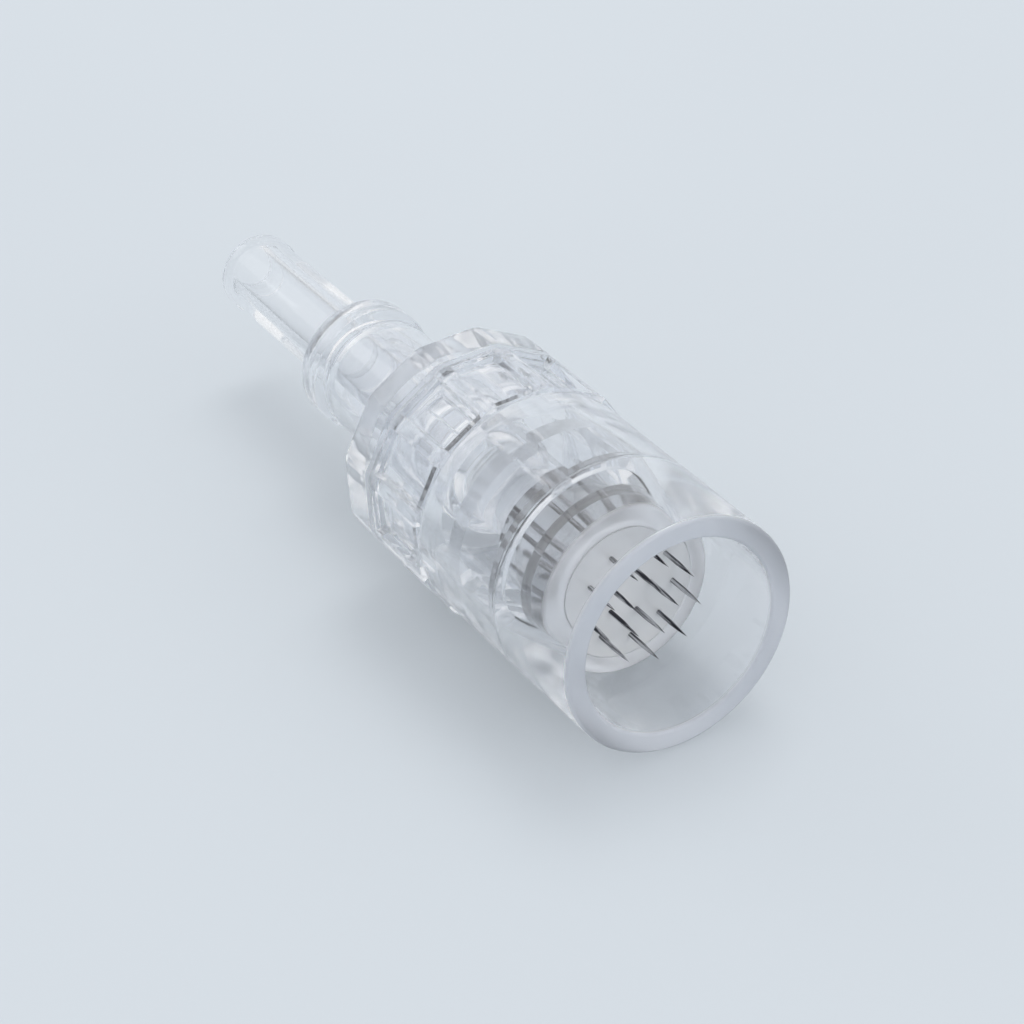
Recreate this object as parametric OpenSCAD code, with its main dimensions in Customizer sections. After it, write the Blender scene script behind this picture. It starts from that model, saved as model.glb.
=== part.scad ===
// Needle cartridge for a microneedling pen, lying on one flat of its twelve-sided grip.
//
// Frame: +X runs along the axis towards the open nose, +Z is up, and the origin is at the
// bottom centre of the whole part, on the surface that it lies on. Every length along the
// axis is a distance behind the front rim, so it grows towards the pen. Every angle about
// the axis is measured from straight up, towards +Y.

/* [Overall] */
// Distance from the front rim to the plunger's rear end
overall_l = 44.9; // [44:0.1:46]
// Number of segments that draw a full circle
round_fn = 96; // [48:8:128]

/* [Nose shell] */
// Outer radius of the round nose
nose_r = 6.5; // [6.48:0.01:6.55]
// Wall of the round nose at its mouth
nose_wall = 1.15; // [1:0.05:1.2]
// Bevel on both edges of the front rim
rim_bevel = 0.15; // [0.05:0.05:0.3]
// Distance to the shoulder where the bore widens for the guide sleeve
shoulder_at = 7.6; // [7.5:0.05:7.6]
// Radius of the wider rear bore
rear_bore_r = 5.6; // [5.57:0.01:5.65]

/* [Grip] */
// Distance from the axis to each of the grip's flats
grip_flat = 6.6; // [6.58:0.01:6.7]
// Distance to the front end of the grip
grip_front = 14; // [13.8:0.1:14.2]
// Distance to the joint between the nose shell and the rear connector
grip_joint = 19; // [18.95:0.01:19]
// Width of the recessed window in each flat
window_w = 2.6; // [2.2:0.1:2.7]
// Distance from the axis to a window's floor
window_floor = 6.05; // [6.03:0.01:6.1]
// Distance to the windows' front edge
window_front = 14.35; // [14.3:0.05:14.5]
// Distance to the windows' rear edge
window_rear = 18.75; // [18.6:0.05:18.8]

/* [Rear connector] */
// Length of the twelve-sided collar
collar_l = 3; // [2.8:0.1:3.2]
// Radius of the neck that plugs into the pen
neck_r = 3.4; // [3.3:0.05:3.5]
// Radius of the lip at the neck's rear end
lip_r = 3.65; // [3.55:0.05:3.7]
// Distance to the neck's rear end
neck_rear = 32.4; // [32.2:0.1:32.6]
// Length of the lip
lip_l = 1.7; // [1.5:0.1:1.8]
// Width of the groove in front of the lip
groove_w = 0.7; // [0.5:0.1:0.9]
// Depth of the groove below the neck
groove_depth = 0.35; // [0.2:0.05:0.4]
// Radius of the spigot inside the nose shell
spigot_r = 5.55; // [5.5:0.01:5.56]
// Distance to the spigot's front end
spigot_front = 14.7; // [14.7:0.01:14.8]
// Radius of the boss inside the spigot that stops the plunger
boss_r = 3.3; // [3.2:0.05:3.4]
// Radius of the two short lands that guide the plunger
guide_bore_r = 2.3; // [2.28:0.01:2.33]
// Radius of the relieved bore between the lands
relief_r = 2.65; // [2.5:0.05:2.7]
// Width of each snap tongue
tongue_w = 1.05; // [0.9:0.05:1.1]

/* [Guide sleeve] */
// Outer radius of the guide sleeve
guide_r = 5.5; // [5.48:0.01:5.52]
// Inner radius of its front ring
guide_ring_r = 4.85; // [4.8:0.05:4.9]
// Width of each long rib
rib_w = 1.2; // [1:0.1:1.4]
// Distance to the front face of its cross disc
disc_front = 11.05; // [11.05:0.01:11.08]
// Thickness of its cross disc
disc_t = 1.1; // [1:0.05:1.1]

/* [Plunger] */
// Outer radius of the plunger tube
tube_r = 2.25; // [2.24:0.01:2.26]
// Radius of the socket in its rear end
socket_r = 1.15; // [1.1:0.05:1.2]
// Depth of that socket
socket_l = 24; // [20:1:24]
// Radius of the bead around its rear end
bead_r = 2.35; // [2.3:0.05:2.4]
// Length of that bead
bead_l = 0.9; // [0.6:0.1:1.2]
// Radius of the stop collar
stop_r = 3.1; // [3:0.05:3.2]
// Distance to the front face of the stop collar
stop_front = 16.9; // [16.9:0.01:16.92]
// Thickness of the stop collar
stop_t = 1.2; // [1:0.05:1.2]

/* [Needle head] */
// Outer radius of the head's front flange
head_r = 4.65; // [4.5:0.05:4.7]
// Distance to the head's front face
head_front = 4.7; // [4.7:0.05:4.8]
// Thickness of the head's front flange
flange_t = 2.1; // [1.9:0.1:2.2]
// Radius of the boss behind the flange
head_boss_r = 3.55; // [3.5:0.05:3.7]
// Distance to the rear face of that boss
head_rear = 11; // [10.95:0.01:11]
// Radius of the stem pressed into the plunger
stem_r = 1.35; // [1.3:0.05:1.4]
// Length of that stem
stem_l = 4; // [3:0.5:4]
// Radius of the needle plate
plate_r = 3.7; // [3.5:0.05:4.2]
// Thickness of the needle plate
plate_t = 0.75; // [0.6:0.05:0.8]
// Radius of the well of glue behind the plate
potting_r = 3.1; // [3:0.05:3.1]
// Depth of the well of glue
potting_l = 4; // [3:0.5:4]

/* [Needles] */
// Radius of a needle
needle_r = 0.125; // [0.1:0.005:0.13]
// Length of needle that stands out of the plate
needle_out = 2.5; // [2:0.1:2.6]
// Length of the ground point
needle_point = 1.4; // [1:0.1:1.8]
// Whole length of a needle
needle_l = 8.6; // [8:0.1:8.6]
// Number of needles in the outer ring
outer_count = 9; // [6:1:9]
// Radius of the outer ring of needles
outer_ring_r = 2.65; // [2.5:0.05:2.7]
// Number of needles in the inner ring
inner_count = 5; // [3:1:5]
// Radius of the inner ring of needles
inner_ring_r = 1.32; // [1.2:0.02:1.4]

/* [Hidden] */
SIDES = 12;
SIDE_ANGLE = 360 / SIDES;
OVERLAP = 1;
PART_GAP = 0.03;
PRESS_GAP = 0.005;
NEEDLE_GAP = 0.01;
TIP_R = 0.012;
NOSE_BORE_R = nose_r - nose_wall;
COLLAR_REAR = grip_joint + collar_l;
REVEAL_W = 0.3;
REVEAL_FLAT = grip_flat - 0.45;
STEP_W = 0.5;
STEP_FLAT = grip_flat - 0.4;
SEAT_R = neck_r + 0.7;
SEAT_W = 0.4;
LIP_FRONT = neck_rear - lip_l;
GROOVE_R = neck_r - groove_depth;
SPIGOT_WALL = 0.95;
SPIGOT_BEVEL = 0.15;
BOSS_FRONT = stop_front + stop_t + 0.05;
CAVITY_REAR = 19.8;
LAND_L = 2.2;
TONGUE_FRONT = 15;
TONGUE_REAR = 18.2;
TONGUE_TOP = window_floor - 0.05;
TONGUE_GAP = 0.06;
TONGUE_TURN = 63;
TONGUES = 4;
RIBS = 4;
RIB_TURN = 75;
RIB_DEPTH = 0.75;
RING_W = 0.55;
RECESS_R = plate_r + 0.05;
PLATE_FRONT = head_front + 0.03;
POTTING_FRONT = PLATE_FRONT + plate_t;
NEEDLE_TIP = head_front - needle_out;
OUTER_TURN = 20;
INNER_TURN = 17;

OUTER_NAMES = [for (i = [1:outer_count]) str("needle_outer_", i)];
INNER_NAMES = [for (i = [1:inner_count]) str("needle_inner_", i)];

CLEAR = [0.84, 0.88, 0.93, 0.35];
CLEAR_INNER = [0.78, 0.83, 0.9, 0.45];
CLOUDY = [0.93, 0.93, 0.9, 0.8];
STEEL = [0.62, 0.62, 0.64];

// Lays a shape drawn upwards from the front rim along the part's own axis.
module lay_down() {
    translate([overall_l / 2, 0, grip_flat])
        rotate([0, -90, 0])
            children();
}

// A round solid about the axis from its half outline, a list of [radius, distance] points.
module turned(outline) {
    rotate_extrude($fn = round_fn)
        polygon(outline);
}

// A plain round disc or hole from one distance to another.
module round_from(r, from, to) {
    translate([0, 0, from])
        cylinder(h = to - from, r = r, $fn = round_fn);
}

// A twelve-sided disc whose flats lie at the given distance from the axis.
module twelve_sided(flat, from, to) {
    translate([0, 0, from])
        rotate([0, 0, SIDE_ANGLE / 2])
            cylinder(h = to - from, r = flat / cos(SIDE_ANGLE / 2), $fn = SIDES);
}

// A straight bar along the axis at one angle, between two radii.
module bar_at(turn, width, inner, outer, from, to) {
    rotate([0, 0, turn])
        translate([inner, -width / 2, from])
            cube([outer - inner, width, to - from]);
}

// Children repeated once for each needle place of one ring.
module at_ring(count, turn, ring_r) {
    for (i = [0:count - 1])
        rotate([0, 0, turn + i * 360 / count])
            translate([ring_r, 0, 0])
                children();
}

// Holes for all the needles from one distance to another.
module needle_holes(from, to) {
    at_ring(outer_count, OUTER_TURN, outer_ring_r)
        round_from(needle_r + NEEDLE_GAP, from, to);
    at_ring(inner_count, INNER_TURN, inner_ring_r)
        round_from(needle_r + NEEDLE_GAP, from, to);
}

// Round nose and the windowed front part of the grip.
module nose_shell() {
    color(CLEAR) lay_down() difference() {
        union() {
            turned([
                [0, 0], [nose_r - rim_bevel, 0], [nose_r, rim_bevel],
                [nose_r, grip_joint], [0, grip_joint]
            ]);
            twelve_sided(grip_flat, grip_front, grip_joint);
        }
        turned([
            [0, -OVERLAP], [NOSE_BORE_R + rim_bevel + OVERLAP, -OVERLAP], [NOSE_BORE_R, rim_bevel],
            [NOSE_BORE_R, shoulder_at], [rear_bore_r, shoulder_at],
            [rear_bore_r, grip_joint + OVERLAP], [0, grip_joint + OVERLAP]
        ]);
        for (i = [0:SIDES - 1])
            bar_at(i * SIDE_ANGLE, window_w, window_floor, grip_flat + OVERLAP, window_front, window_rear);
        for (i = [0:TONGUES - 1])
            bar_at(TONGUE_TURN + i * 360 / TONGUES, tongue_w + 2 * TONGUE_GAP, rear_bore_r - OVERLAP,
                grip_flat + OVERLAP, TONGUE_FRONT - TONGUE_GAP, TONGUE_REAR + TONGUE_GAP);
    }
}

// Twelve-sided collar, neck with its groove and lip, and the spigot with its snap tongues.
module rear_connector() {
    color(CLEAR) lay_down() difference() {
        union() {
            turned([
                [0, spigot_front], [spigot_r - SPIGOT_BEVEL, spigot_front],
                [spigot_r, spigot_front + SPIGOT_BEVEL], [spigot_r, grip_joint + STEP_W],
                [0, grip_joint + STEP_W]
            ]);
            for (i = [0:TONGUES - 1])
                bar_at(TONGUE_TURN + i * 360 / TONGUES, tongue_w, spigot_r - SPIGOT_WALL / 2,
                    TONGUE_TOP, TONGUE_FRONT, TONGUE_REAR);
            twelve_sided(REVEAL_FLAT, grip_joint + PART_GAP, COLLAR_REAR - STEP_W);
            twelve_sided(grip_flat, grip_joint + REVEAL_W, COLLAR_REAR - STEP_W);
            twelve_sided(STEP_FLAT, COLLAR_REAR - STEP_W - REVEAL_W, COLLAR_REAR);
            neck();
        }
        plunger_way();
    }
}

// Outside of the neck, from inside the collar to the rear end of the lip.
module neck() {
    lip_round = 0.25;
    turned([
        [0, COLLAR_REAR - STEP_W], [SEAT_R, COLLAR_REAR - STEP_W], [SEAT_R, COLLAR_REAR + SEAT_W],
        [neck_r, COLLAR_REAR + SEAT_W], [neck_r, LIP_FRONT - groove_w], [GROOVE_R, LIP_FRONT - groove_w],
        [GROOVE_R, LIP_FRONT], [lip_r, LIP_FRONT], [lip_r, neck_rear - lip_round],
        [lip_r - lip_round, neck_rear], [0, neck_rear]
    ]);
}

// Everything that is open inside the connector: the cavity of the spigot around the boss,
// and the bore with its two guiding lands.
module plunger_way() {
    cavity_r = spigot_r - SPIGOT_WALL;
    turned([
        [0, spigot_front - OVERLAP], [cavity_r, spigot_front - OVERLAP], [cavity_r, CAVITY_REAR],
        [boss_r, CAVITY_REAR], [boss_r, BOSS_FRONT], [guide_bore_r, BOSS_FRONT],
        [guide_bore_r, BOSS_FRONT + LAND_L], [relief_r, BOSS_FRONT + LAND_L],
        [relief_r, neck_rear - LAND_L], [guide_bore_r, neck_rear - LAND_L],
        [guide_bore_r, neck_rear + OVERLAP], [0, neck_rear + OVERLAP]
    ]);
}

// Front ring, cross disc and long ribs of the inner guide.
module guide_sleeve() {
    ring_front = shoulder_at + PART_GAP;
    disc_rear = disc_front + disc_t;
    color(CLEAR_INNER) lay_down() difference() {
        union() {
            difference() {
                round_from(guide_r, ring_front, ring_front + RING_W);
                round_from(guide_ring_r, ring_front - OVERLAP, ring_front + RING_W + OVERLAP);
            }
            intersection() {
                round_from(guide_r, ring_front, spigot_front - PART_GAP);
                for (i = [0:RIBS - 1])
                    bar_at(RIB_TURN + i * 360 / RIBS, rib_w, guide_r - RIB_DEPTH, guide_r + OVERLAP,
                        ring_front, spigot_front - PART_GAP);
            }
            round_from(guide_r, disc_front, disc_rear);
        }
        round_from(guide_bore_r, disc_front - OVERLAP, disc_rear + OVERLAP);
    }
}

// Hollow plunger with its stop collar, rear bead, rear socket and front socket.
module plunger_tube() {
    tube_front = head_rear + PART_GAP;
    bead_round = 0.2;
    color(CLEAR_INNER) lay_down() difference() {
        turned([
            [0, tube_front], [tube_r, tube_front], [tube_r, stop_front], [stop_r, stop_front],
            [stop_r, stop_front + stop_t], [tube_r, stop_front + stop_t],
            [tube_r, overall_l - bead_l], [bead_r, overall_l - bead_l],
            [bead_r, overall_l - bead_round], [bead_r - bead_round, overall_l], [0, overall_l]
        ]);
        round_from(socket_r, overall_l - socket_l, overall_l + OVERLAP);
        round_from(stem_r + PRESS_GAP, tube_front - OVERLAP, head_rear + stem_l + PART_GAP);
    }
}

// Round head with its recess, glue well, needle holes and stem.
module needle_head() {
    color(CLEAR_INNER) lay_down() difference() {
        turned([
            [0, head_front], [head_r, head_front], [head_r, head_front + flange_t],
            [head_boss_r, head_front + flange_t], [head_boss_r, head_rear], [stem_r, head_rear],
            [stem_r, head_rear + stem_l], [0, head_rear + stem_l]
        ]);
        round_from(RECESS_R, head_front - OVERLAP, POTTING_FRONT);
        round_from(potting_r + PRESS_GAP, POTTING_FRONT - OVERLAP, POTTING_FRONT + potting_l + PART_GAP);
        needle_holes(POTTING_FRONT, NEEDLE_TIP + needle_l + PART_GAP);
    }
}

// Thin drilled plate at the front of the head.
module needle_plate() {
    color(CLEAR) lay_down() difference() {
        round_from(plate_r, PLATE_FRONT, POTTING_FRONT - PRESS_GAP);
        needle_holes(PLATE_FRONT - OVERLAP, POTTING_FRONT + OVERLAP);
    }
}

// Cured glue around the needles, behind the plate.
module potting() {
    color(CLOUDY) lay_down() difference() {
        round_from(potting_r, POTTING_FRONT, POTTING_FRONT + potting_l);
        needle_holes(POTTING_FRONT - OVERLAP, POTTING_FRONT + potting_l + OVERLAP);
    }
}

// One steel needle at its place: a ground point, then a straight shank.
module needle(turn, ring_r) {
    color(STEEL) lay_down()
        rotate([0, 0, turn])
            translate([ring_r, 0, 0])
                turned([
                    [0, NEEDLE_TIP], [TIP_R, NEEDLE_TIP], [needle_r, NEEDLE_TIP + needle_point],
                    [needle_r, NEEDLE_TIP + needle_l], [0, NEEDLE_TIP + needle_l]
                ]);
}

nose_shell();
rear_connector();
guide_sleeve();
plunger_tube();
needle_head();
needle_plate();
potting();
for (i = [0:outer_count - 1])
    needle(OUTER_TURN + i * 360 / outer_count, outer_ring_r);
for (i = [0:inner_count - 1])
    needle(INNER_TURN + i * 360 / inner_count, inner_ring_r);
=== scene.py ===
import math

import bpy
import numpy as np
from mathutils import Matrix, Vector
from mathutils.geometry import delaunay_2d_cdt


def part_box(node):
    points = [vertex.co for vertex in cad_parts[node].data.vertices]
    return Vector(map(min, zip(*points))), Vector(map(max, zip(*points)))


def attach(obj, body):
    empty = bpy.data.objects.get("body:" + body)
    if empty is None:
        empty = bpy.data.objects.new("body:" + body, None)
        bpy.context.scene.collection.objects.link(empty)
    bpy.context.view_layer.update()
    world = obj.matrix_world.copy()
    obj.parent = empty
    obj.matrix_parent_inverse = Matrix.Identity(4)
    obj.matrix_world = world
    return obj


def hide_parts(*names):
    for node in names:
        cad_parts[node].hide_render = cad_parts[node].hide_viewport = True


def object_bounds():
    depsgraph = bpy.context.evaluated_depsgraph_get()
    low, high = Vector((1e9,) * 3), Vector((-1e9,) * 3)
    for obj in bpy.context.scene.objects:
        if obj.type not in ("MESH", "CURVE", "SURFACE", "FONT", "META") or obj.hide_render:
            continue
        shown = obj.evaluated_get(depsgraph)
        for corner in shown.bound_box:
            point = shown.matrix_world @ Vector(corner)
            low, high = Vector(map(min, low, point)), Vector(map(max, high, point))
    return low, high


# Looks of a clear needle cartridge for a microneedling pen.
#
# Every skin below is worked out on a grid: rows follow an outline of distances behind the front rim
# and radii about the axis, columns go once round the axis. Sizes are in millimetres until a mesh is
# made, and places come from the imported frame. Glued and pressed fits are drawn a hair tight, so that
# no film of air shows between two clear pieces.

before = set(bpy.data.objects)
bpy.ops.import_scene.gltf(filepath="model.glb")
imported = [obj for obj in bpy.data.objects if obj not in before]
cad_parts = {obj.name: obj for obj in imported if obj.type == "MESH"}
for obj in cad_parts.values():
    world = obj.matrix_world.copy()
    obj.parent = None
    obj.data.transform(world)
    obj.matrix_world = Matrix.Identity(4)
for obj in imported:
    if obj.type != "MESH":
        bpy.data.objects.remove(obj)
cad_low, cad_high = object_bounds()

MM = 0.001
RIM_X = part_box("nose_shell")[1].x
AXIS_Z = (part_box("plunger_tube")[0].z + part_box("plunger_tube")[1].z) / 2
FLOOR_Z = cad_low.z

# ---------------------------------------------------------------- driving sizes, in millimetres

# The grip and its windows
SIDES = 12
SIDE_ANGLE = 360 / SIDES
GRIP_FLAT = 6.6
GRIP_EDGE_ROUND = 0.05
GRIP_FRONT = 14.0
GRIP_JOINT = 19.0
WINDOW_FRONT, WINDOW_REAR = 14.35, 18.75
WINDOW_HALF_TURN = 11.4
WINDOW_FLOOR = 6.05

# Walls of the windows and of the snap tongues: how far in from the edge the bevel, the steep wall,
# the foot and the flat start, and the depth of the bevel and of the foot
WALL_STEPS = (0, 0.04, 0.07, 0.12)
WALL_BEVEL = 0.04

# The round nose
NOSE_R = 6.5
NOSE_BORE_R = 5.35
REAR_BORE_R = 5.6
SHOULDER_AT = 7.6

# The snap tongues and the slots that they stand in
SLOT_FRONT, SLOT_REAR = 14.94, 18.26
SLOT_HALF_TURN = 5.6
TONGUE_FRONT, TONGUE_REAR = 15.0, 18.2
TONGUE_TURNS = (63, 153, 243, 333)
TONGUE_HALF_TURN = 5.0
TONGUE_TOP = 6.0

# The rear connector
PART_GAP = 0.03
SPIGOT_FRONT = 14.7
SPIGOT_R = 5.608
CAVITY_R = 4.6
CAVITY_REAR = 19.8
REVEAL_FLAT = 6.15
REVEAL_REAR = 19.3
STEP_FLAT = 6.2
STEP_AT = 21.5
COLLAR_REAR = 22.0
SEAT_R = 4.1
SEAT_REAR = 22.4
NECK_R = 3.4
GROOVE_R = 3.05
GROOVE_FRONT = 30.0
LIP_R = 3.65
LIP_FRONT, NECK_REAR = 30.7, 32.4
BOSS_R = 3.3
BOSS_FRONT = 18.15
GUIDE_BORE_R = 2.3
RELIEF_R = 2.65
RELIEF_FRONT, RELIEF_REAR = 20.35, 30.2

# The guide sleeve
SLEEVE_R = 5.5
SLEEVE_BORE_R = 4.75
RING_BORE_R = 4.85
RING_FRONT, RING_REAR = SHOULDER_AT + PART_GAP, 8.18
DISC_FRONT, DISC_REAR = 11.05, 12.15
SLEEVE_REAR = SPIGOT_FRONT - PART_GAP
RIB_TURNS = (75, 165, 255, 345)
RIB_HALF_TURN = 6.3

# The plunger tube
TUBE_R = 2.25
TUBE_FRONT, TUBE_REAR = 11.03, 44.9
STEM_SOCKET_R = 1.355
STEM_SOCKET_END = 15.03
STOP_R = 3.1
STOP_FRONT, STOP_REAR = 16.9, 18.1
BEAD_R = 2.35
BEAD_FRONT = 44.0
PIN_SOCKET_R = 1.15
PIN_SOCKET_END = 20.9

# The needle head, its plate and its glue
HEAD_R = 4.65
HEAD_FRONT = 4.7
FLANGE_REAR = 6.8
HEAD_BOSS_R = 3.55
HEAD_REAR = 11.0
STEM_R = 1.36
STEM_REAR = 15.0
RECESS_R = 3.75
RECESS_END = 5.48
WELL_R = 3.105
WELL_END = 9.51
PLATE_R = 3.7
PLATE_FRONT, PLATE_REAR = 4.73, 5.475
PLATE_HOLE_R = 0.115
GLUE_R = 3.115
GLUE_FRONT, GLUE_REAR = 5.465, 9.52

# The needles: each ring is a count, the first needle's turn and the ring's radius
NEEDLE_R = 0.125
NEEDLE_TIP_AT = 2.2
NEEDLE_END_AT = 10.8
NEEDLE_TIP_L, NEEDLE_TIP_R = 0.004, 0.008
NEEDLE_SLOPE_L, NEEDLE_SLOPE_R = 0.5, 0.068
NEEDLE_POINT_L = 1.4
NEEDLE_END_BEVEL = 0.03
OUTER_RING = (9, 20, 2.65)
INNER_RING = (5, 17, 1.32)

# Angle between the columns of each piece's grid, in degrees, and the least share of it between two
HOUSING_STEP = 1.25
SLEEVE_STEP = 1.5
TUBE_STEP = 2.5
HEAD_STEP = 2.0
GLUE_STEP = 3.0
NEEDLE_STEP = 10.0
NEAREST_STEP = 0.2

# Points round the plate's rim and round each of its holes
PLATE_POINTS, HOLE_POINTS = 144, 24


# ---------------------------------------------------------------- grids and meshes

STRAIGHT_HALF = math.radians(89)


def fillet_arc(before, corner, after, radius, steps=5):
    """Points of a round of the given radius that touches both straight stretches at a corner.

    The arc starts and ends at radius / tan(half the corner's angle) from the corner, and its
    centre lies on the corner's bisector. A radius of 0 leaves the corner sharp, and a corner that
    is almost straight stays one point.
    """
    a, c, b = (np.asarray(p[:2], float) for p in (before, corner, after))
    to_a = (a - c) / np.linalg.norm(a - c)
    to_b = (b - c) / np.linalg.norm(b - c)
    half = math.acos(np.clip(to_a @ to_b, -1, 1)) / 2
    if radius == 0 or half > STRAIGHT_HALF:
        return c[None, :]
    reach = radius / math.tan(half)
    centre = c + (to_a + to_b) / np.linalg.norm(to_a + to_b) * radius / math.sin(half)
    start, end = c + to_a * reach - centre, c + to_b * reach - centre
    sweep = math.pi - 2 * half
    part = np.linspace(0, 1, steps)[:, None]
    mixed = (np.sin((1 - part) * sweep) * start + np.sin(part * sweep) * end) / math.sin(sweep)
    return centre + mixed


def rounded_outline(corners, closed=True):
    """Rows (distance, radius, sidedness) of an outline from its corners.

    Each corner is (distance, radius, fillet, sidedness). Sidedness is 0 where the row is a circle
    and 1 where it has twelve sides. The rows of a fillet share their corner's sidedness.
    """
    rows = []
    count = len(corners)
    for i, corner in enumerate(corners):
        if not closed and i in (0, count - 1):
            rows.append((corner[0], corner[1], corner[3]))
            continue
        arc = fillet_arc(corners[i - 1], corner, corners[(i + 1) % count], corner[2])
        rows += [(distance, radius, corner[3]) for distance, radius in arc]
    return np.array(rows)


def turn_columns(step, *marks):
    """Angles round the axis in degrees: every step, and the marks where an edge has to fall.

    A plain step that comes very close before another angle is left out.
    """
    angles = np.concatenate([np.arange(0, 360, step), *[np.asarray(m, float) % 360 for m in marks]])
    angles = np.unique(np.round(angles, 3))
    keep = np.ones(len(angles), bool)
    marked = np.round(np.concatenate([np.asarray(m, float) % 360 for m in marks]), 3) if marks else []
    near = np.diff(angles, append=angles[0] + 360) < step * NEAREST_STEP
    keep[near & ~np.isin(angles, marked)] = False
    return angles[keep]


def off_flat(turns):
    """Angle in degrees between each column and the middle of its own flat of the grip."""
    return (turns + SIDE_ANGLE / 2) % SIDE_ANGLE - SIDE_ANGLE / 2


EDGE_FACTOR = 1 / math.cos(math.radians(SIDE_ANGLE / 2)) - GRIP_EDGE_ROUND / GRIP_FLAT
FLAT_TURNS = np.arange(SIDES) * SIDE_ANGLE


def sided_factor(turns):
    """How much further out a twelve-sided row lies than a circle through its flats' middles.

    It is 1 / cos(angle off the flat's middle), held back near each edge so that the edge is round.
    """
    return np.minimum(1 / np.cos(np.radians(off_flat(turns))), EDGE_FACTOR)


def edge_turns():
    """The columns where a grip edge's rounding starts and ends, and the edge itself."""
    start = math.degrees(math.acos(1 / EDGE_FACTOR))
    return np.concatenate([FLAT_TURNS + start, FLAT_TURNS - start, FLAT_TURNS + SIDE_ANGLE / 2])


def radius_grid(rows, turns):
    """Radius of every row and column: the row's radius times its share of the twelve-sided factor."""
    return rows[:, 1:2] * (1 + rows[:, 2:3] * (sided_factor(turns)[None, :] - 1))


def angle_from(turns, centre):
    """Signed angle in degrees from a centre to each column, the short way round."""
    return (turns - centre + 180) % 360 - 180


def place_points(distances, radii, turns):
    """Metre coordinates of points at distances behind the rim, radii and angles from straight up."""
    angle = np.radians(turns)
    along = RIM_X - np.asarray(distances) * MM + 0 * radii
    side = radii * np.sin(angle) * MM
    up = AXIS_Z + radii * np.cos(angle) * MM
    return np.stack([along, side, up], axis=-1)


def grid_faces(row_count, column_count, close_rows):
    """Quads between neighbouring rows and columns, as (rows, columns, 4) indices. Columns close."""
    last = row_count if close_rows else row_count - 1
    row = np.arange(last)[:, None]
    column = np.arange(column_count)[None, :]
    next_row, next_column = (row + 1) % row_count, (column + 1) % column_count
    corners = [
        row * column_count + column,
        next_row * column_count + column,
        next_row * column_count + next_column,
        row * column_count + next_column,
    ]
    return np.stack(corners, axis=-1)


def bridge(path_a, path_b, closed):
    """Quads that join two paths of vertices, pair by pair."""
    a, b = np.asarray(path_a), np.asarray(path_b)
    quads = np.stack([a, np.roll(a, -1), np.roll(b, -1), b], axis=-1)
    return quads if closed else quads[:-1]


def signed_volume(points, faces):
    """Sum over every face's fan of triangles of a . (b x c) / 6, positive if faces point outwards."""
    total = 0.0
    for size in sorted({len(f) for f in faces}):
        group = np.array([f for f in faces if len(f) == size])
        for k in range(1, size - 1):
            a, b, c = points[group[:, 0]], points[group[:, k]], points[group[:, k + 1]]
            total += np.einsum("ij,ij->", a, np.cross(b, c))
    return total / 6


def make_piece(node, finish, points, faces, material, body, sharp=32):
    """A mesh object that stands for a CAD node: at the origin, faces outwards, riding on its body."""
    name = f"{node}_{finish}"
    used, numbers = np.unique(np.concatenate([np.ravel(f) for f in faces]), return_inverse=True)
    points = points[used]
    ends = np.cumsum([len(f) for f in faces])[:-1]
    faces = [f.tolist() for f in np.split(numbers.ravel(), ends)]
    centre = points.mean(axis=0)
    if signed_volume(points - centre, faces) < 0:
        faces = [f[::-1] for f in faces]
    mesh = bpy.data.meshes.new(name)
    mesh.from_pydata(points.tolist(), [], faces)
    mesh.shade_smooth()
    mesh.set_sharp_from_angle(angle=math.radians(sharp))
    mesh.materials.append(material)
    piece = bpy.data.objects.new(name, mesh)
    bpy.context.scene.collection.objects.link(piece)
    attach(piece, body)
    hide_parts(node)
    return piece


def closed_skin(rows, turns, radii=None):
    """Points and faces of a ring-shaped skin: the outline closes on itself."""
    radii = radius_grid(rows, turns) if radii is None else radii
    points = place_points(rows[:, 0:1], radii, turns[None, :]).reshape(-1, 3)
    faces = grid_faces(len(rows), len(turns), close_rows=True)
    return points, faces


def poled_skin(rows, turns):
    """Points and faces of a solid of revolution whose outline starts and ends on the axis."""
    inner = rows[1:-1]
    points = place_points(inner[:, 0:1], radius_grid(inner, turns), turns[None, :]).reshape(-1, 3)
    poles = place_points(rows[[0, -1], 0], np.zeros(2), np.zeros(2))
    columns = np.arange(len(turns))
    following = np.roll(columns, -1)
    first_pole, last_pole = len(points), len(points) + 1
    last_row = (len(inner) - 1) * len(turns)
    faces = grid_faces(len(inner), len(turns), close_rows=False).reshape(-1, 4).tolist()
    faces += [[first_pole, c, n] for c, n in zip(columns, following)]
    faces += [[last_pole, last_row + n, last_row + c] for c, n in zip(columns, following)]
    return np.concatenate([points, poles]), faces


# ---------------------------------------------------------------- materials

# Bending of light in the housing and in the inner pieces
SHELL_IOR = 1.3
INNER_IOR = 1.23

# The duller front end of a moulded piece and how deep it goes in millimetres; the rim's grey is painted
# shade
MATT_ROUGHNESS = 0.6
MATT_DEPTH = 0.3
MATT_CLARITY = 0.6
MATT_FULL_SHARE = 0.2
# Grey colour of the rim's front face: painted shade, the darker look of the rim painted into its colour
RIM_PAINTED_SHADE = (0.62, 0.645, 0.70)
HEAD_TONE = (0.95, 0.955, 0.975)

# The thin polished skin of every moulded piece
SKIN_WEIGHT = 0.35
SKIN_IOR = 1.5
SKIN_ROUGHNESS = 0.06

# Scales of the patterns, in repeats per metre, and the way each is drawn out along X, Y and Z
TINT_SCALE, TINT_STRETCH = 160.0, (0.4, 1, 1)
HAZE_SCALE, HAZE_STRETCH = 900.0, (0.25, 1, 1)
FLOW_SCALE, FLOW_STRETCH = 420.0, (0.12, 1, 1)
CLOUD_SCALE = 700.0
STEEL_SCALE = 9000.0
STREAK_STRETCH, GRIND_STRETCH = (0.05, 1, 1), (1, 0.1, 0.1)
TABLE_SCALE = 14.0

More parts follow.
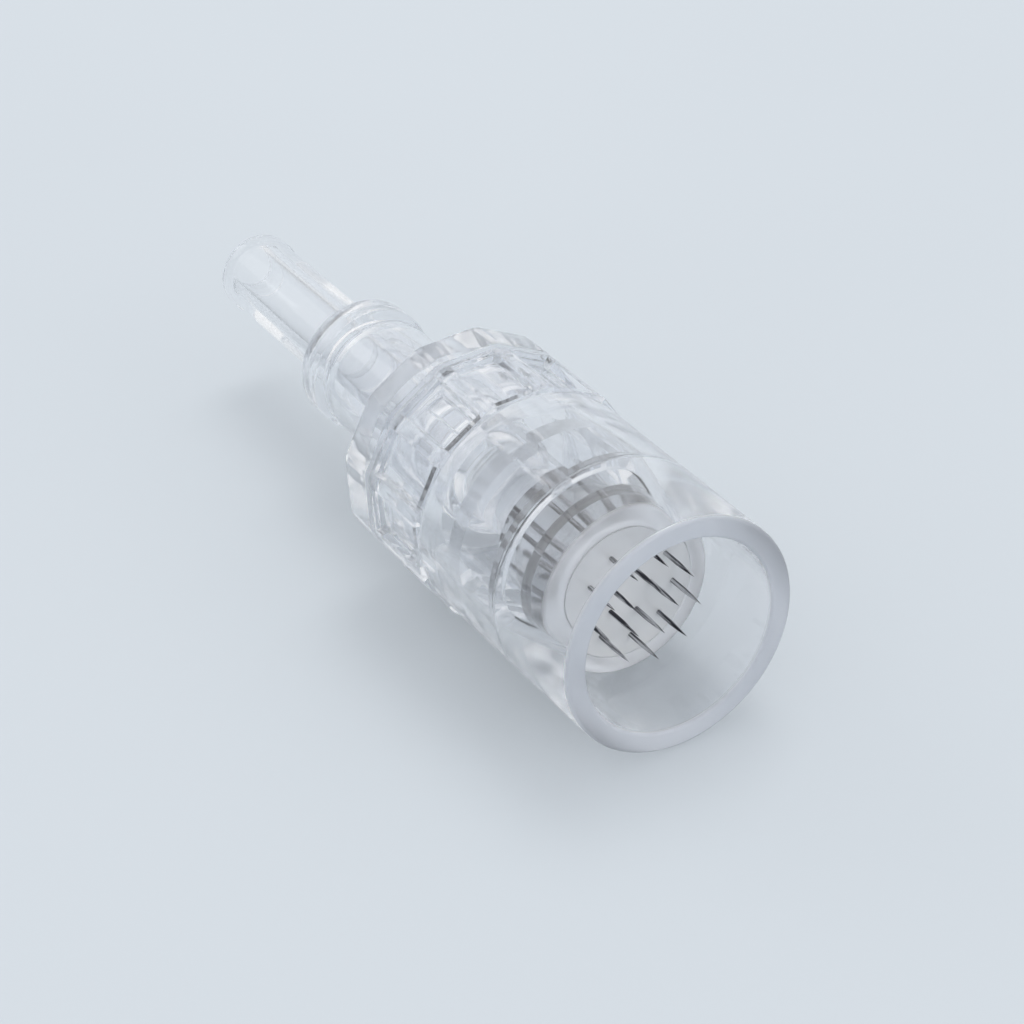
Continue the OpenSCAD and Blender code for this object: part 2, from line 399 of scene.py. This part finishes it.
# Depths of the bumps, in metres
FLOW_DEPTH = 0.00004
CLOUD_DEPTH = 0.00003
STREAK_DEPTH = 0.000004


def new_material(name):
    """An empty node material with a Principled shader, and its nodes, links and shader."""
    material = bpy.data.materials.new(name)
    material.use_nodes = True
    nodes, links = material.node_tree.nodes, material.node_tree.links
    return material, nodes, links, nodes["Principled BSDF"]


def object_noise(nodes, links, scale, stretch=(1, 1, 1), detail=3.0):
    """Noise on the piece's own coordinates, stretched by a Mapping node."""
    where = nodes.new("ShaderNodeTexCoord")
    mapping = nodes.new("ShaderNodeMapping")
    mapping.inputs["Scale"].default_value = stretch
    noise = nodes.new("ShaderNodeTexNoise")
    noise.inputs["Scale"].default_value = scale
    noise.inputs["Detail"].default_value = detail
    links.new(where.outputs["Object"], mapping.inputs["Vector"])
    links.new(mapping.outputs["Vector"], noise.inputs["Vector"])
    return noise.outputs["Fac"]


def ramp(nodes, links, source, low, high, start=0.35, end=0.65):
    """A colour ramp between two colours over part of its source's range."""
    node = nodes.new("ShaderNodeValToRGB")
    node.color_ramp.elements[0].position = start
    node.color_ramp.elements[0].color = (*low, 1)
    node.color_ramp.elements[1].position = end
    node.color_ramp.elements[1].color = (*high, 1)
    links.new(source, node.inputs["Fac"])
    return node.outputs["Color"]


def spread(nodes, links, source, low, high):
    """The source's 0 to 1 range carried onto low to high."""
    node = nodes.new("ShaderNodeMapRange")
    node.inputs["To Min"].default_value = low
    node.inputs["To Max"].default_value = high
    links.new(source, node.inputs["Value"])
    return node.outputs["Result"]


def bump(nodes, links, height, strength, distance):
    """A bump from a height, in metres of depth."""
    node = nodes.new("ShaderNodeBump")
    node.inputs["Strength"].default_value = strength
    node.inputs["Distance"].default_value = distance
    links.new(height, node.inputs["Height"])
    return node.outputs["Normal"]


def front_band(nodes, links, front_at, depth):
    """1 at the front end of a piece, falling to 0 over a depth behind it, on its own coordinates."""
    where = nodes.new("ShaderNodeTexCoord")
    split = nodes.new("ShaderNodeSeparateXYZ")
    links.new(where.outputs["Object"], split.inputs["Vector"])
    band = nodes.new("ShaderNodeMapRange")
    band.inputs["From Min"].default_value = RIM_X - (front_at + depth) * MM
    band.inputs["From Max"].default_value = RIM_X - (front_at + depth * MATT_FULL_SHARE) * MM
    links.new(split.outputs["X"], band.inputs["Value"])
    return band.outputs["Result"]


def blend(nodes, links, factor, kind, below, above):
    """A Mix node between a linked value and a constant, by a factor.

    A Mix node holds a pair of inputs and an output for every kind of data, found by number.
    """
    first_input, output = {"FLOAT": (2, 0), "RGBA": (6, 2)}[kind]
    mix = nodes.new("ShaderNodeMix")
    mix.data_type = kind
    links.new(factor, mix.inputs["Factor"])
    links.new(below, mix.inputs[first_input])
    mix.inputs[first_input + 1].default_value = above
    return mix.outputs[output]


def moulded_plastic(name, ior, tints, clarity, roughness, flow_strength, matt_front=None):
    """Clear moulded plastic: faint flow lines along the axis and a slight tint that comes and goes.

    A clarity under 1 leaves that share of the light to scatter, so the plastic is a little milky.
    A matt front is the place and tone of a duller, more scattering front end; the rim's grey tone is
    painted shade.
    """
    material, nodes, links, shader = new_material(name)
    shader.inputs["Transmission Weight"].default_value = clarity
    shader.inputs["IOR"].default_value = ior
    shader.inputs["Coat Weight"].default_value = SKIN_WEIGHT
    shader.inputs["Coat IOR"].default_value = SKIN_IOR
    shader.inputs["Coat Roughness"].default_value = SKIN_ROUGHNESS
    tint = ramp(nodes, links, object_noise(nodes, links, TINT_SCALE, TINT_STRETCH), *tints)
    haze = spread(nodes, links, object_noise(nodes, links, HAZE_SCALE, HAZE_STRETCH, 4.0), *roughness)
    if matt_front is not None:
        front_at, tone = matt_front
        band = front_band(nodes, links, front_at, MATT_DEPTH)
        # On the rim this mixes painted shade into the colour: a grey tone for the front face
        tint = blend(nodes, links, band, "RGBA", tint, (*tone, 1))
        haze = blend(nodes, links, band, "FLOAT", haze, MATT_ROUGHNESS)
        clear = spread(nodes, links, band, clarity, clarity * MATT_CLARITY)
        links.new(clear, shader.inputs["Transmission Weight"])
    links.new(tint, shader.inputs["Base Color"])
    links.new(haze, shader.inputs["Roughness"])
    flow = object_noise(nodes, links, FLOW_SCALE, FLOW_STRETCH, 2.0)
    links.new(bump(nodes, links, flow, flow_strength, FLOW_DEPTH), shader.inputs["Normal"])
    return material


def cured_glue():
    """Cured glue: mostly clear, a little milky, with a soft skin."""
    material, nodes, links, shader = new_material("cured_glue")
    shader.inputs["Transmission Weight"].default_value = 0.9
    shader.inputs["IOR"].default_value = INNER_IOR
    cloud = object_noise(nodes, links, CLOUD_SCALE, detail=4.0)
    tint = ramp(nodes, links, cloud, (0.98, 0.98, 0.985), (0.998, 0.995, 0.99))
    links.new(tint, shader.inputs["Base Color"])
    links.new(spread(nodes, links, cloud, 0.02, 0.08), shader.inputs["Roughness"])
    links.new(bump(nodes, links, cloud, 0.3, CLOUD_DEPTH), shader.inputs["Normal"])
    return material


def needle_steel():
    """Stainless wire: painted reflections as streaks of light and shade along the needle in its colour,
    and a finer grind across the point.
    """
    material, nodes, links, shader = new_material("needle_steel")
    shader.inputs["Metallic"].default_value = 1.0
    streaks = object_noise(nodes, links, STEEL_SCALE, STREAK_STRETCH)
    # Ramp ends of the streaks: painted reflection, the shaded edges and highlight lines of polished
    # steel
    painted_dark_streak, painted_glint_streak = (0.05, 0.05, 0.06), (0.66, 0.66, 0.68)
    links.new(ramp(nodes, links, streaks, painted_dark_streak, painted_glint_streak, 0.44, 0.62), shader.inputs["Base Color"])
    grind = object_noise(nodes, links, STEEL_SCALE, GRIND_STRETCH)
    links.new(spread(nodes, links, grind, 0.12, 0.34), shader.inputs["Roughness"])
    links.new(bump(nodes, links, streaks, 0.35, STREAK_DEPTH), shader.inputs["Normal"])
    return material


def table_top():
    """Plain pale matt surface with the slightest unevenness of tone, lit a little from within."""
    material, nodes, links, shader = new_material("table_top")
    tone = object_noise(nodes, links, TABLE_SCALE, detail=2.0)
    colour = ramp(nodes, links, tone, (0.332, 0.355, 0.378), (0.342, 0.365, 0.388))
    links.new(colour, shader.inputs["Base Color"])
    shader.inputs["Roughness"].default_value = 0.75
    shader.inputs["Specular IOR Level"].default_value = 0.2
    shader.inputs["Emission Color"].default_value = (0.69, 0.75, 0.81, 1)
    shader.inputs["Emission Strength"].default_value = 0.355
    return material


SHELL_PLASTIC = moulded_plastic(
    "clear_shell", SHELL_IOR, tints=((0.965, 0.97, 0.985), (0.985, 0.99, 0.998)), clarity=0.985,
    roughness=(0.02, 0.07), flow_strength=0.04, matt_front=(0.0, RIM_PAINTED_SHADE))
INNER_PLASTIC = moulded_plastic(
    "clear_inner", INNER_IOR, tints=((0.97, 0.975, 0.985), (0.99, 0.992, 0.998)), clarity=0.985,
    roughness=(0.04, 0.10), flow_strength=0.04, matt_front=(HEAD_FRONT, HEAD_TONE))
PLATE_PLASTIC = moulded_plastic(
    "clear_plate", INNER_IOR, tints=((0.86, 0.87, 0.885), (0.985, 0.98, 0.98)), clarity=0.32,
    roughness=(0.3, 0.5), flow_strength=0.2)
GLUE = cured_glue()
STEEL = needle_steel()


# ---------------------------------------------------------------- the housing

def wall_profile(inside, full):
    """Depth, or height, of a wall at a distance inside its edge: a bevel, a steep rise, then full."""
    return np.interp(inside, WALL_STEPS, [0, WALL_BEVEL, full - WALL_BEVEL, full])


def window_depth(rows, turns):
    """Depth of the recessed windows at every row and column of the nose shell's outside.

    The depth depends only on how far a point lies inside the nearest window edge: a small bevel,
    a steep wall, a small round at the foot, then the flat floor.
    """
    inside_rows = np.minimum(rows[:, 0] - WINDOW_FRONT, WINDOW_REAR - rows[:, 0])[:, None]
    inside_turns = (WINDOW_HALF_TURN - np.abs(off_flat(turns)))[None, :]
    inside_turns = np.radians(inside_turns) * GRIP_FLAT
    inside = np.minimum(inside_rows, inside_turns)
    return wall_profile(inside, GRIP_FLAT - WINDOW_FLOOR)


def wall_turns(centres, half_turn, radius):
    """Columns where the walls of a recess or a raised tongue start, turn and end."""
    steps = half_turn - np.degrees(np.asarray(WALL_STEPS) / radius)
    return np.concatenate([[c + s, c - s] for c in centres for s in steps])


def wall_rows(front, rear, radius, sidedness):
    """Corner points along a straight stretch where the walls between two distances fall."""
    starts = [(front + step, radius, 0, sidedness) for step in WALL_STEPS]
    ends = [(rear - step, radius, 0, sidedness) for step in reversed(WALL_STEPS)]
    return starts, ends


def grid_rectangle(row_a, row_b, columns, number):
    """Vertex numbers once round a rectangle of a grid that has this number of columns.

    The two rows are joined by straight edges at the first and the last column.
    """
    first_side = [(row_a, columns[0]), (row_b, columns[0])]
    across = [(row_b, c) for c in columns[1:]]
    back = [(row_a, c) for c in columns[::-1][:-1]]
    return [r * number + c for r, c in first_side + across + back]


def grid_hoop(row_side, row_across, columns, number):
    """Vertex numbers of a path: up one side, across every column, and down the other side."""
    first_side = [(row_side, columns[0])]
    across = [(row_across, c) for c in columns]
    last_side = [(row_side, columns[-1])]
    return [r * number + c for r, c in first_side + across + last_side]


def nearest_column(turns, turn):
    """Number of the column at an angle."""
    return int(np.argmin(np.abs(angle_from(turns, turn))))


def row_at(rows, distance, radius):
    """Number of the row that stands at a corner of the outline."""
    return int(np.flatnonzero((rows[:, 0] == distance) & (rows[:, 1] == radius))[0])


def nose_shell():
    """Round nose, grip with its windows, and a through slot for each snap tongue.

    The outline goes back along the outside and forward along the bore. The slots are left out of
    both, and walls join their edges through the shell.
    """
    starts, ends = wall_rows(WINDOW_FRONT, WINDOW_REAR, GRIP_FLAT, 1)
    slot_outside = [(SLOT_FRONT, GRIP_FLAT, 0, 1), (SLOT_REAR, GRIP_FLAT, 0, 1)]
    corners = [
        (0, NOSE_BORE_R, 0.2, 0), (0, NOSE_R, 0.22, 0),
        (GRIP_FRONT, NOSE_R, 0.04, 0), (GRIP_FRONT, GRIP_FLAT, 0.05, 1),
        *starts, *slot_outside, *ends,
        (GRIP_JOINT, GRIP_FLAT, 0.08, 1), (GRIP_JOINT, REAR_BORE_R, 0.08, 0),
        (SLOT_REAR, REAR_BORE_R, 0, 0), (SLOT_FRONT, REAR_BORE_R, 0, 0),
        (SHOULDER_AT, REAR_BORE_R, 0.04, 0), (SHOULDER_AT, NOSE_BORE_R, 0.06, 0),
    ]
    rows = rounded_outline(corners)
    slot_turns = np.concatenate([[t - SLOT_HALF_TURN, t + SLOT_HALF_TURN] for t in TONGUE_TURNS])
    window_turns = wall_turns(FLAT_TURNS, WINDOW_HALF_TURN, GRIP_FLAT)
    turns = turn_columns(HOUSING_STEP, edge_turns(), window_turns, slot_turns)
    radii = radius_grid(rows, turns)
    outside = rows[:, 2] == 1
    radii[outside] -= window_depth(rows[outside], turns) * sided_factor(turns)[None, :]
    points, faces = closed_skin(rows, turns, radii)

    number = len(turns)
    outer = row_at(rows, SLOT_FRONT, GRIP_FLAT), row_at(rows, SLOT_REAR, GRIP_FLAT)
    inner = row_at(rows, SLOT_FRONT, REAR_BORE_R), row_at(rows, SLOT_REAR, REAR_BORE_R)
    keep = np.ones(faces.shape[:2], bool)
    walls = []
    for turn in TONGUE_TURNS:
        first = nearest_column(turns, turn - SLOT_HALF_TURN)
        last = nearest_column(turns, turn + SLOT_HALF_TURN)
        columns = list(range(first, last + 1))
        keep[outer[0]:outer[1], first:last] = False
        keep[inner[1]:inner[0], first:last] = False
        outer_loop = grid_rectangle(*outer, columns, number)
        inner_loop = grid_rectangle(*inner, columns, number)
        walls += bridge(outer_loop, inner_loop, closed=True).tolist()
    faces = faces[keep].reshape(-1, 4).tolist() + walls
    return make_piece("nose_shell", "clear", points, faces, SHELL_PLASTIC, "housing")


def rear_connector():
    """Collar, neck with its groove and lip, bore, inner boss and the spigot with its snap tongues.

    The outline goes back along the outside and forward along the bore, round the boss and the
    spigot's cavity. The tongues are raised out of the spigot's columns.
    """
    starts, ends = wall_rows(TONGUE_FRONT, TONGUE_REAR, SPIGOT_R, 0)
    corners = [
        (SPIGOT_FRONT, CAVITY_R, 0.08, 0), (SPIGOT_FRONT, SPIGOT_R, 0.12, 0), *starts, *ends,
        (GRIP_JOINT + PART_GAP, SPIGOT_R, 0.03, 0), (GRIP_JOINT + PART_GAP, REVEAL_FLAT, 0.05, 1),
        (REVEAL_REAR, REVEAL_FLAT, 0.04, 1), (REVEAL_REAR, GRIP_FLAT, 0.1, 1),
        (STEP_AT, GRIP_FLAT, 0.12, 1), (STEP_AT, STEP_FLAT, 0.04, 1),
        (COLLAR_REAR, STEP_FLAT, 0.12, 1), (COLLAR_REAR, SEAT_R, 0.08, 0),
        (SEAT_REAR, SEAT_R, 0.1, 0), (SEAT_REAR, NECK_R, 0.15, 0),
        (GROOVE_FRONT, NECK_R, 0.09, 0), (GROOVE_FRONT, GROOVE_R, 0.09, 0),
        (LIP_FRONT, GROOVE_R, 0.09, 0), (LIP_FRONT, LIP_R, 0.12, 0),
        (NECK_REAR, LIP_R, 0.25, 0), (NECK_REAR, GUIDE_BORE_R, 0.1, 0),
        (RELIEF_REAR, GUIDE_BORE_R, 0.05, 0), (RELIEF_REAR, RELIEF_R, 0.05, 0),
        (RELIEF_FRONT, RELIEF_R, 0.05, 0), (RELIEF_FRONT, GUIDE_BORE_R, 0.05, 0),
        (BOSS_FRONT, GUIDE_BORE_R, 0.12, 0), (BOSS_FRONT, BOSS_R, 0.2, 0),
        (CAVITY_REAR, BOSS_R, 0.2, 0), (CAVITY_REAR, CAVITY_R, 0.25, 0),
    ]
    rows = rounded_outline(corners)
    tongue_turns = wall_turns(TONGUE_TURNS, TONGUE_HALF_TURN, SPIGOT_R)
    turns = turn_columns(HOUSING_STEP, edge_turns(), tongue_turns)
    radii = radius_grid(rows, turns)
    spigot = np.isclose(rows[:, 1], SPIGOT_R)
    off_tongue = np.min([np.abs(angle_from(turns, t)) for t in TONGUE_TURNS], axis=0)
    inside_rows = np.minimum(rows[:, 0] - TONGUE_FRONT, TONGUE_REAR - rows[:, 0])[:, None]
    inside_turns = np.radians(TONGUE_HALF_TURN - off_tongue)[None, :] * SPIGOT_R
    raised = wall_profile(np.minimum(inside_rows, inside_turns), TONGUE_TOP - SPIGOT_R)
    radii[spigot] += raised[spigot]
    points, faces = closed_skin(rows, turns, radii)
    faces = faces.reshape(-1, 4).tolist()
    return make_piece("rear_connector", "clear", points, faces, SHELL_PLASTIC, "housing")


def guide_sleeve():
    """Front ring, cross disc and four long ribs, cut out of one sleeve.

    The sleeve's outline goes out, round the rear end and back along the bore, with the disc
    standing inwards. Between the ribs the wall is cut away in front of the disc and behind it.
    """
    corners = [
        (RING_FRONT, RING_BORE_R, 0.06, 0), (RING_FRONT, SLEEVE_R, 0.06, 0), (RING_REAR, SLEEVE_R, 0, 0),
        (DISC_FRONT, SLEEVE_R, 0, 0), (DISC_REAR, SLEEVE_R, 0, 0), (SLEEVE_REAR, SLEEVE_R, 0, 0),
        (SLEEVE_REAR, SLEEVE_BORE_R, 0, 0), (DISC_REAR, SLEEVE_BORE_R, 0, 0),
        (DISC_REAR, GUIDE_BORE_R, 0.1, 0), (DISC_FRONT, GUIDE_BORE_R, 0.1, 0),
        (DISC_FRONT, SLEEVE_BORE_R, 0, 0), (RING_REAR, SLEEVE_BORE_R, 0, 0),
        (RING_REAR, RING_BORE_R, 0, 0),
    ]
    rows = rounded_outline(corners)
    rib_edges = np.concatenate([[t - RIB_HALF_TURN, t + RIB_HALF_TURN] for t in RIB_TURNS])
    turns = turn_columns(SLEEVE_STEP, rib_edges)
    points, faces = closed_skin(rows, turns)
    number = len(turns)
    outer = [row_at(rows, at, SLEEVE_R) for at in (RING_REAR, DISC_FRONT, DISC_REAR, SLEEVE_REAR)]
    inner = [row_at(rows, at, SLEEVE_BORE_R) for at in (RING_REAR, DISC_FRONT, DISC_REAR, SLEEVE_REAR)]

    keep = np.ones(faces.shape[:2], bool)
    walls = []
    for rib, following in zip(RIB_TURNS, RIB_TURNS[1:] + RIB_TURNS[:1]):
        first = nearest_column(turns, rib + RIB_HALF_TURN)
        last = nearest_column(turns, following - RIB_HALF_TURN)
        columns = [(first + k) % number for k in range((last - first) % number + 1)]
        gap = columns[:-1]
        keep[outer[0]:outer[1], gap] = False
        keep[inner[1]:inner[0], gap] = False
        outer_loop = grid_rectangle(outer[0], outer[1], columns, number)
        inner_loop = grid_rectangle(inner[0], inner[1], columns, number)
        walls += bridge(outer_loop, inner_loop, closed=True).tolist()
        keep[outer[2]:inner[2], gap] = False
        outer_path = grid_hoop(outer[3], outer[2], columns, number)
        inner_path = grid_hoop(inner[3], inner[2], columns, number)
        walls += bridge(inner_path, outer_path, closed=False).tolist()
    faces = faces[keep].reshape(-1, 4).tolist() + walls
    return make_piece("guide_sleeve", "clear", points, faces, INNER_PLASTIC, "housing")


# ---------------------------------------------------------------- the plunger assembly

def plunger_tube():
    """Hollow plunger: front socket, stop collar, long tube, rear bead and deep rear socket.

    The outline starts at the bottom of the front socket and ends at the bottom of the rear one.
    """
    corners = [
        (STEM_SOCKET_END, 0, 0, 0), (STEM_SOCKET_END, STEM_SOCKET_R, 0.15, 0),
        (TUBE_FRONT, STEM_SOCKET_R, 0.08, 0), (TUBE_FRONT, TUBE_R, 0.1, 0),
        (STOP_FRONT, TUBE_R, 0.15, 0), (STOP_FRONT, STOP_R, 0.15, 0),
        (STOP_REAR, STOP_R, 0.15, 0), (STOP_REAR, TUBE_R, 0.15, 0),
        (BEAD_FRONT, TUBE_R, 0.06, 0), (BEAD_FRONT, BEAD_R, 0.05, 0),
        (TUBE_REAR, BEAD_R, 0.3, 0), (TUBE_REAR, PIN_SOCKET_R, 0.12, 0),
        (PIN_SOCKET_END, PIN_SOCKET_R, 0.6, 0), (PIN_SOCKET_END, 0, 0, 0),
    ]
    points, faces = poled_skin(rounded_outline(corners, closed=False), turn_columns(TUBE_STEP))
    return make_piece("plunger_tube", "clear", points, faces, INNER_PLASTIC, "plunger")


def needle_head():
    """Round head: recess, glue well, front flange, boss and stem.

    The outline starts at the bottom of the well, comes forward round the flange and ends at the
    stem's rear end.
    """
    corners = [
        (WELL_END, 0, 0, 0), (WELL_END, WELL_R, 0.15, 0), (RECESS_END, WELL_R, 0.05, 0),
        (RECESS_END, RECESS_R, 0.05, 0), (HEAD_FRONT, RECESS_R, 0.06, 0), (HEAD_FRONT, HEAD_R, 0.12, 0),
        (FLANGE_REAR, HEAD_R, 0.12, 0), (FLANGE_REAR, HEAD_BOSS_R, 0.15, 0),
        (HEAD_REAR, HEAD_BOSS_R, 0.2, 0), (HEAD_REAR, STEM_R, 0.05, 0),
        (STEM_REAR, STEM_R, 0.15, 0), (STEM_REAR, 0, 0, 0),
    ]
    points, faces = poled_skin(rounded_outline(corners, closed=False), turn_columns(HEAD_STEP))
    return make_piece("needle_head", "clear", points, faces, INNER_PLASTIC, "plunger")


def ring_places(ring):
    """Angle and radius of every needle of one ring."""
    count, first_turn, radius = ring
    return [(first_turn + i * 360 / count, radius) for i in range(count)]


def needle_plate():
    """Thin round plate with a true round hole for every needle.

    The plate's outline and holes are circles in one plane, filled with triangles between them,
    repeated at both faces, and joined by walls.
    """
    circles = [(0.0, 0.0, PLATE_R, PLATE_POINTS)]
    for turn, radius in ring_places(OUTER_RING) + ring_places(INNER_RING):
        angle = math.radians(turn)
        circles.append((radius * math.sin(angle), radius * math.cos(angle), PLATE_HOLE_R, HOLE_POINTS))
    flat, edges = [], []
    for centre_y, centre_z, radius, count in circles:
        angle = np.arange(count) * 2 * math.pi / count
        start = len(flat)
        circle = [centre_y + radius * np.cos(angle), centre_z + radius * np.sin(angle)]
        flat += np.stack(circle, axis=-1).tolist()
        edges += [(start + i, start + (i + 1) % count) for i in range(count)]
    filled = delaunay_2d_cdt([Vector(p) for p in flat], edges, [], 1, 1e-6)
    corners = np.array([list(p) for p in filled[0]])
    triangles = np.array(filled[2])
    middle = corners[triangles].mean(axis=1)
    in_hole = np.zeros(len(triangles), bool)
    for centre_y, centre_z, radius, _ in circles[1:]:
        in_hole |= np.hypot(middle[:, 0] - centre_y, middle[:, 1] - centre_z) < radius * 0.99
    triangles = triangles[~in_hole]
    count = len(corners)
    sides = np.sort(triangles[:, [[0, 1], [1, 2], [2, 0]]].reshape(-1, 2), axis=1)
    sides, uses = np.unique(sides, axis=0, return_counts=True)
    rim = sides[uses == 1]
    directed = {tuple(e) for t in triangles.tolist() for e in ((t[0], t[1]), (t[1], t[2]), (t[2], t[0]))}
    walls = [[b, a, a + count, b + count] if (a, b) in directed else [a, b, b + count, a + count]
             for a, b in rim.tolist()]
    side, up = corners[:, 0] * MM, AXIS_Z + corners[:, 1] * MM
    layers = [np.column_stack([np.full(count, RIM_X - at * MM), side, up])
              for at in (PLATE_FRONT, PLATE_REAR)]
    faces = triangles.tolist() + (triangles[:, ::-1] + count).tolist() + walls
    points = np.concatenate(layers)
    return make_piece("needle_plate", "clear", points, faces, PLATE_PLASTIC, "plunger")


def potting():
    """Plug of cured glue, a hair larger than the head's well and bonded to it and to the plate."""
    corners = [
        (GLUE_FRONT, 0, 0, 0), (GLUE_FRONT, GLUE_R, 0.03, 0),
        (GLUE_REAR, GLUE_R, 0.15, 0), (GLUE_REAR, 0, 0, 0),
    ]
    points, faces = poled_skin(rounded_outline(corners, closed=False), turn_columns(GLUE_STEP))
    return make_piece("potting", "glue", points, faces, GLUE, "plunger")


def needle(node, turn, ring_r):
    """A steel needle: rounded tip, ground point in two slopes, straight shank and blunt rear end."""
    corners = [
        (NEEDLE_TIP_AT, 0, 0, 0), (NEEDLE_TIP_AT + NEEDLE_TIP_L, NEEDLE_TIP_R, 0, 0),
        (NEEDLE_TIP_AT + NEEDLE_SLOPE_L, NEEDLE_SLOPE_R, 0, 0),
        (NEEDLE_TIP_AT + NEEDLE_POINT_L, NEEDLE_R, 0, 0),
        (NEEDLE_END_AT - NEEDLE_END_BEVEL, NEEDLE_R, 0, 0),
        (NEEDLE_END_AT, NEEDLE_R - NEEDLE_END_BEVEL, 0, 0), (NEEDLE_END_AT, 0, 0, 0),
    ]
    points, faces = poled_skin(rounded_outline(corners, closed=False), turn_columns(NEEDLE_STEP))
    angle = math.radians(turn)
    points += np.array([0, ring_r * math.sin(angle), ring_r * math.cos(angle)]) * MM
    return make_piece(node, "steel", points, faces, STEEL, "plunger", sharp=40)


def needles():
    """Every needle of both rings."""
    for label, ring in (("outer", OUTER_RING), ("inner", INNER_RING)):
        for i, (turn, radius) in enumerate(ring_places(ring)):
            needle(f"needle_{label}_{i + 1}", turn, radius)


# ---------------------------------------------------------------- table, light and camera

# Half the width of the table in metres
TABLE_REACH = 1.5

# The camera's lens, and its place in millimetres from the middle of the front rim
SENSOR_WIDTH = 36.0
LENS = 105.47
CAMERA_PLACE = (97.976, -61.198, 86.719)
CAMERA_AHEAD = (-0.7279, 0.3910, -0.5632)
CAMERA_UP = (-0.4514, 0.3450, 0.8229)

# Turns that light may make inside the clear pieces and between milky ones
CLEAR_BOUNCES = 32
MILKY_BOUNCES = 16


def table():
    """Large plain table top under the part."""
    mesh = bpy.data.meshes.new("table_floor")
    signs = ((-1, -1), (1, -1), (1, 1), (-1, 1))
    corners = [(x * TABLE_REACH, y * TABLE_REACH, FLOOR_Z) for x, y in signs]
    mesh.from_pydata(corners, [], [(0, 1, 2, 3)])
    mesh.materials.append(table_top())
    floor = bpy.data.objects.new("table_floor", mesh)
    bpy.context.scene.collection.objects.link(floor)


def direction(azimuth, elevation):
    """Unit vector at an angle round +Z from +X and an angle above the table, in degrees."""
    a, e = math.radians(azimuth), math.radians(elevation)
    return Vector((math.cos(e) * math.cos(a), math.cos(e) * math.sin(a), math.sin(e)))


def soft_box(name, azimuth, elevation, distance, width, height, power, colour):
    """A rectangular area light that faces the part and isn't seen through clear pieces."""
    data = bpy.data.lights.new(name, "AREA")
    data.shape = "RECTANGLE"
    data.size, data.size_y = width, height
    data.energy = power
    data.color = colour
    lamp = bpy.data.objects.new(name, data)
    towards = direction(azimuth, elevation)
    lamp.location = towards * distance
    lamp.visible_transmission = False
    lamp.rotation_euler = towards.to_track_quat("Z", "Y").to_euler()
    bpy.context.scene.collection.objects.link(lamp)


def studio_sky():
    """Soft surroundings: grey at the height of the table, brighter overhead."""
    world = bpy.data.worlds.new("studio")
    bpy.context.scene.world = world
    world.use_nodes = True
    nodes, links = world.node_tree.nodes, world.node_tree.links
    where = nodes.new("ShaderNodeTexCoord")
    split = nodes.new("ShaderNodeSeparateXYZ")
    links.new(where.outputs["Generated"], split.inputs["Vector"])
    shade = ramp(nodes, links, split.outputs["Z"], (0.66, 0.70, 0.745), (0.93, 0.945, 0.96), 0.02, 0.55)
    links.new(shade, nodes["Background"].inputs["Color"])
    nodes["Background"].inputs["Strength"].default_value = 1.0


def camera():
    """Camera above and in front of the nose, looking back along the part, turned a little."""
    data = bpy.data.cameras.new("camera")
    data.sensor_width = SENSOR_WIDTH
    data.lens = LENS
    data.clip_start, data.clip_end = 0.005, 10.0
    view = bpy.data.objects.new("camera", data)
    bpy.context.scene.collection.objects.link(view)
    ahead = Vector(CAMERA_AHEAD).normalized()
    right = ahead.cross(Vector(CAMERA_UP)).normalized()
    up = right.cross(ahead)
    turned = Matrix((right, up, -ahead)).transposed().to_4x4()
    place = Vector((RIM_X, 0, AXIS_Z)) + Vector(CAMERA_PLACE) * MM
    view.matrix_world = Matrix.Translation(place) @ turned
    bpy.context.scene.camera = view


camera()
studio_sky()
soft_box("key_overhead", azimuth=124, elevation=65, distance=1.6, width=0.8, height=0.8,
         power=7.6, colour=(1.0, 0.99, 0.97))
soft_box("strip_behind", azimuth=-160, elevation=34, distance=0.5, width=0.26, height=0.2,
         power=0.14, colour=(1.0, 1.0, 1.0))
soft_box("fill_front", azimuth=10, elevation=24, distance=0.9, width=0.9, height=0.45,
         power=1.6, colour=(1.0, 1.0, 1.0))
table()

nose_shell()
rear_connector()
guide_sleeve()
plunger_tube()
needle_head()
needle_plate()
potting()
needles()

scene = bpy.context.scene
scene.view_settings.view_transform = "Standard"
scene.cycles.max_bounces = CLEAR_BOUNCES
scene.cycles.transmission_bounces = CLEAR_BOUNCES
scene.cycles.glossy_bounces = CLEAR_BOUNCES
scene.cycles.diffuse_bounces = MILKY_BOUNCES
